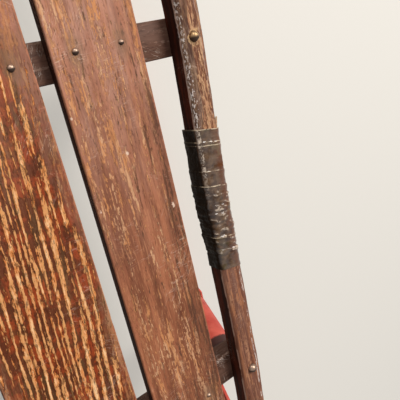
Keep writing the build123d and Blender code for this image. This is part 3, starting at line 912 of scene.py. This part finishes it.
def binding():
    """The tape: turns of one strip round the crack, each proud of the last, wrinkled and lumpy."""
    low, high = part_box("tape_wrap")
    line = rail_line("rail_left")
    rail_low, rail_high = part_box("rail_left")
    half_width = line[0][2] + tape_proud
    top = rail_high.z + tape_proud
    bm = long_bar(half_width, Vector((0, low.y, rail_low.z - tape_proud)), Vector((0, high.y, top)),
                  rail_round + tape_proud, tape_under_round, tape_step)
    ends = [f for f in bm.faces if all(abs(v.co.y - f.verts[0].co.y) < 1e-6 for v in f.verts)]
    bmesh.ops.delete(bm, geom=ends, context="FACES")
    lap_layer, wrinkle_layer, inward_layer, wound_layer, depth_layer = layers(
        bm, "lap", "wrinkle", "inward", "wound", "depth")
    middle_z = (rail_low.z + rail_high.z) / 2
    for vert in bm.verts:
        x, y, z = vert.co
        # Both ends of the tape are cut along its slant
        slanted = tape_slant * (x + half_width) / (2 * half_width)
        share = (high.y - y) / (high.y - low.y)
        wound = share * (high.y - low.y - tape_slant)
        vert.co.y = high.y - wound - slanted
        wound += 0.0006 * noise.noise((x / 0.008, z / 0.008, y / 0.02))
        past = [wound - lap for lap in tape_laps if wound >= lap]
        since_lap = past[-1] if past else 0.0
        lap_edge = 1 - ease(since_lap, 0.0003, 0.0012)
        build = 1 - ease(since_lap, 0.001, 0.009)
        tight = ease(wound, 0.05, 0.07) * (1 - ease(wound, 0.125, 0.135))
        ring = noise.noise((x / 0.012, z / 0.012, wound / 0.0026))
        ripple = noise.noise((x / 0.004, z / 0.005, wound / 0.003 + 7.0))
        wrinkle = tight * (0.75 * ring + 0.7 * ripple) + (1 - tight) * 0.25 * ripple
        line_share = lap_lines[max(len(past) - 1, 0)]
        vert[lap_layer] = lap_edge * (line_share + 0.6 * noise.noise((x / 0.010, z / 0.012, 10 * len(past))))
        vert[wrinkle_layer] = 0.5 + wrinkle
        vert[inward_layer] = -x
        vert[wound_layer] = wound
        vert[depth_layer] = top - z
        lump = tape_lump_height * noise.noise((x / 0.02, z / 0.02, y / 0.013))
        # It is thickest low on the inner side, towards its rear end
        bulge = tape_bulge * ease(-x, 0.006, 0.013) * ease(middle_z - z, -0.004, 0.006)
        bulge *= ease(wound, 0.13, 0.08)
        away = Vector((x, 0, z - middle_z)).normalized()
        vert.co += away * (tape_lap_height * build + tape_wrinkle_height * wrinkle + lump + bulge - 0.0003)
        vert.co.x += middle_at(line, y)
    bmesh.ops.solidify(bm, geom=bm.faces[:], thickness=0.001)
    bmesh.ops.recalc_face_normals(bm, faces=bm.faces)
    make_piece(bm, "tape_binding", "tape", "sled", ["tape_wrap"], smooth=50)


def splinter():
    """A splinter that stands out from the cracked rail just behind the tape."""
    bm = bmesh.new()
    along = splinter_tip - splinter_root
    middle = Matrix.Translation((splinter_root + splinter_tip) / 2)
    turn = along.to_track_quat("Z", "Y").to_matrix().to_4x4()
    bmesh.ops.create_cone(bm, cap_ends=True, segments=6, radius1=0.0022, radius2=0.0006, depth=along.length,
                          matrix=middle @ turn @ Matrix.Diagonal((1.3, 0.6, 1, 1)))
    make_piece(bm, "rail_splinter", "splinter", "sled")


binding()
splinter()

# Benches, a little uneven
for number, bench in enumerate(bench_names):
    bm = cad_copy(bench, rounding=0.0014)
    cut_across(bm, 0, 0.008)
    for vert in bm.verts:
        x, y, z = vert.co
        vert.co.y += 0.0005 * noise.noise((x / 0.05, z / 0.01, number))
        vert.co.z += 0.0004 * noise.noise((x / 0.04, y / 0.01, number + 5.0))
    make_piece(bm, bench + "_wood", "bench", "sled", [bench])

# The steering bar and the steel
bm = cad_copy("steering_bar")
cut_across(bm, 0, 0.01)
make_piece(bm, "steering_bar_wood", "bar", "steering", ["steering_bar"])
for side in sides:
    for number in range(1, 5):
        node = f"knee_{number}_{side}"
        bm = cad_copy(node, rounding=0.0006)
        # Marks the knees, where the red enamel lays painted shade just under the benches
        knee, = layers(bm, "knee")
        for vert in bm.verts:
            vert[knee] = 1.0
        make_piece(bm, "steel_" + node, "red", "sled", [node])
    for node, body in ((f"runner_{side}", "sled"), (f"tip_bracket_{side}", "steering")):
        make_piece(cad_copy(node, rounding=0.0006), "steel_" + node, "red", body, [node])
    node = f"runner_front_{side}"
    bm = cad_copy(node, rounding=0.0006)
    cut_across(bm, 1, 0.008)
    low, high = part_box(node)
    front = make_piece(bm, "steel_" + node, "red", None, [node])
    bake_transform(front)
for node in ("pivot_plate", "pivot_strap", "pivot_bolt"):
    make_piece(cad_copy(node, rounding=0.0005), node + "_steel", "steel", "sled", [node])


def make_dome():
    """One rivet head of radius 1 and height 1, closed underneath."""
    bm = bmesh.new()
    bmesh.ops.create_uvsphere(bm, u_segments=20, v_segments=14, radius=1)
    everything = bm.verts[:] + bm.edges[:] + bm.faces[:]
    bmesh.ops.bisect_plane(bm, geom=everything, dist=1e-6, plane_co=(0, 0, 0), plane_no=down, clear_outer=True)
    bmesh.ops.holes_fill(bm, edges=[e for e in bm.edges if e.is_boundary], sides=0)
    return to_mesh(bm, "dome")


dome = make_dome()


def heads(name, places, finish, body, facing=up):
    """Rivet or bolt heads as one piece: each has a seat, a radius and a height."""
    bm = bmesh.new()
    foot, = layers(bm, "foot")
    turn = Vector(facing).to_track_quat("Z", "Y").to_matrix().to_4x4()
    for seat, radius, height in places:
        before = set(bm.verts)
        bm.from_mesh(dome)
        new = [v for v in bm.verts if v not in before]
        size = Matrix.Diagonal((radius, radius, height, 1))
        bmesh.ops.transform(bm, verts=new, matrix=Matrix.Translation(seat) @ turn @ size)
        for vert in new:
            # Painted shade: 0 on a head's rear edge, 1 on its front edge, where the metal finishes lay it
            # darker
            vert[foot] = 0.5 + 0.5 * (seat[1] - vert.co.y) / radius
    make_piece(bm, name, finish, body, smooth=60)


# Rivets in the boards, and bolts in the rails: brass ones, but nickel at the first bench
deck_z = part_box("board_centre")[1].z
rail_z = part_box("rail_left")[1].z
deck_heads, brass, nickel = [], [], []
for x, y in rivet_places:
    radius = small_rivet_radius if abs(x) == side_rivet_xs[1] else rivet_radius
    deck_heads.append(((x, y, deck_z - rivet_sink), radius, radius))
for node, bench, y in rail_bolts:
    row, radius = (nickel, small_bolt_radius) if bench == "bench_1" else (brass, rail_bolt_radius)
    seat = (middle_at(rail_line(node), y), y, rail_z - rail_bolt_sink)
    row.append((seat, radius, radius * rail_bolt_fullness))
heads("deck_rivets", deck_heads, "steel", "sled")
heads("rail_bolts_brass", brass, "brass", "sled")
heads("rail_bolts_nickel", nickel, "nickel", "sled")

# Rivets of the steel: in the pads under the benches, through the runners' webs, and on the steering bar
for side, sign in sides.items():
    pad_heads, foot_heads = [], []
    web_x = sign * (web_outer - steel_sink)
    for number in range(1, 5):
        bench_low, bench_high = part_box(f"bench_{number}")
        middle_y = (bench_low.y + bench_high.y) / 2
        pad_x = max(abs(bench_low.x), abs(bench_high.x)) - pad_rivet_inset
        for end in (-1, 1):
            pad_seat = (sign * pad_x, middle_y + end * pad_rivet_spread, pad_underside + steel_sink)
            foot_seat = (web_x, middle_y + end * foot_rivet_spread, foot_rivet_z)
            pad_heads.append((pad_seat, steel_rivet_radius, pad_rivet_height))
            foot_heads.append((foot_seat, steel_rivet_radius, foot_rivet_height))
    low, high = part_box(f"tip_bracket_{side}")
    bracket_seat = (web_x, (low.y + high.y) / 2, high.z - bracket_bolt_drop)
    bracket_heads = [(bracket_seat, bracket_bolt_radius, bracket_bolt_height)]
    heads(f"pad_rivets_{side}", pad_heads, "red", "sled", down)
    heads(f"foot_rivets_{side}", foot_heads, "red", "sled", (sign, 0, 0))
    heads(f"bracket_bolt_{side}", bracket_heads, "steel", "steering", (sign, 0, 0))
low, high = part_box("steering_bar")
bar_heads = [((sign * bar_bolt_x, (low.y + high.y) / 2, high.z - bar_bolt_sink), bracket_bolt_radius,
              bracket_bolt_height) for sign in sides.values()]
heads("bar_bolts", bar_heads, "steel", "steering")


# Stage, light and camera


def make_stage():
    """A pale floor that the camera sees lighter than it lights the sled."""
    bm = bmesh.new()
    bmesh.ops.create_grid(bm, x_segments=1, y_segments=1, size=8)
    floor = new_object("floor", to_mesh(bm, "floor"))
    pale = Finish("pale_floor")
    pale.surface["Base Color"].default_value = colour(176, 172, 165)
    pale.surface["Roughness"].default_value = 0.8
    pale.surface["Emission Color"].default_value = colour(226, 222, 214)
    rays = pale.node("ShaderNodeLightPath").outputs
    seen = pale.maths("MAXIMUM", rays["Is Camera Ray"], rays["Is Glossy Ray"])
    pale.join(pale.product(seen, 0.42), pale.surface["Emission Strength"])
    floor.data.materials.append(pale.material)
    floor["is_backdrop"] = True


def make_lamp(name, toward, distance, size, power, tint):
    """A round soft lamp in the given direction from the deck, facing it."""
    lamp = bpy.data.lights.new(name, "AREA")
    lamp.shape = "DISK"
    lamp.size = size
    lamp.energy = power
    lamp.color = tint
    holder = new_object(name, lamp)
    holder.location = Vector((0, -0.1, 0.2)) + Vector(toward).normalized() * distance
    holder.rotation_mode = "QUATERNION"
    holder.rotation_quaternion = (-Vector(toward)).to_track_quat("-Z", "Y")


def make_room():
    """A dim room that is lighter on the side of the key lamp, and plain white to the camera."""
    world = bpy.data.worlds.new("room")
    bpy.context.scene.world = world
    world.use_nodes = True
    shade = Shade(world.node_tree)
    sky = world.node_tree.nodes["Background"].inputs
    direction = shade.node("ShaderNodeTexCoord").outputs["Generated"]
    facing = shade.vectors("DOT_PRODUCT", direction, (0.55, 0.45, 0.7), "Value")
    light = shade.times_plus(shade.spread(facing, -0.6, 0.9), 0.42, 0.06)
    rays = shade.node("ShaderNodeLightPath").outputs
    seen = shade.maths("MAXIMUM", rays["Is Camera Ray"], rays["Is Glossy Ray"])
    seen = shade.maths("MAXIMUM", seen, rays["Is Transmission Ray"])
    shade.join(shade.maths("MAXIMUM", light, shade.product(seen, 0.85)), sky["Strength"])
    sky["Color"].default_value = (0.97, 0.98, 1.0, 1.0)


def make_camera():
    lens = bpy.data.cameras.new("camera")
    lens.lens = camera_lens
    lens.clip_start = 0.01
    camera = new_object("camera", lens)
    camera.location = camera_place
    camera.rotation_mode = "QUATERNION"
    camera.rotation_quaternion = camera_turn
    bpy.context.scene.camera = camera


make_stage()
make_lamp("key", toward=(0.52, 0.42, 0.8), distance=2.9, size=1.3, power=76, tint=(1.0, 0.97, 0.93))
make_lamp("top", toward=(-0.15, 0.85, 0.5), distance=2.6, size=1.0, power=18, tint=(1.0, 0.98, 0.95))
make_room()
make_camera()
bpy.context.scene.view_settings.view_transform = "Standard"

low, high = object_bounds()
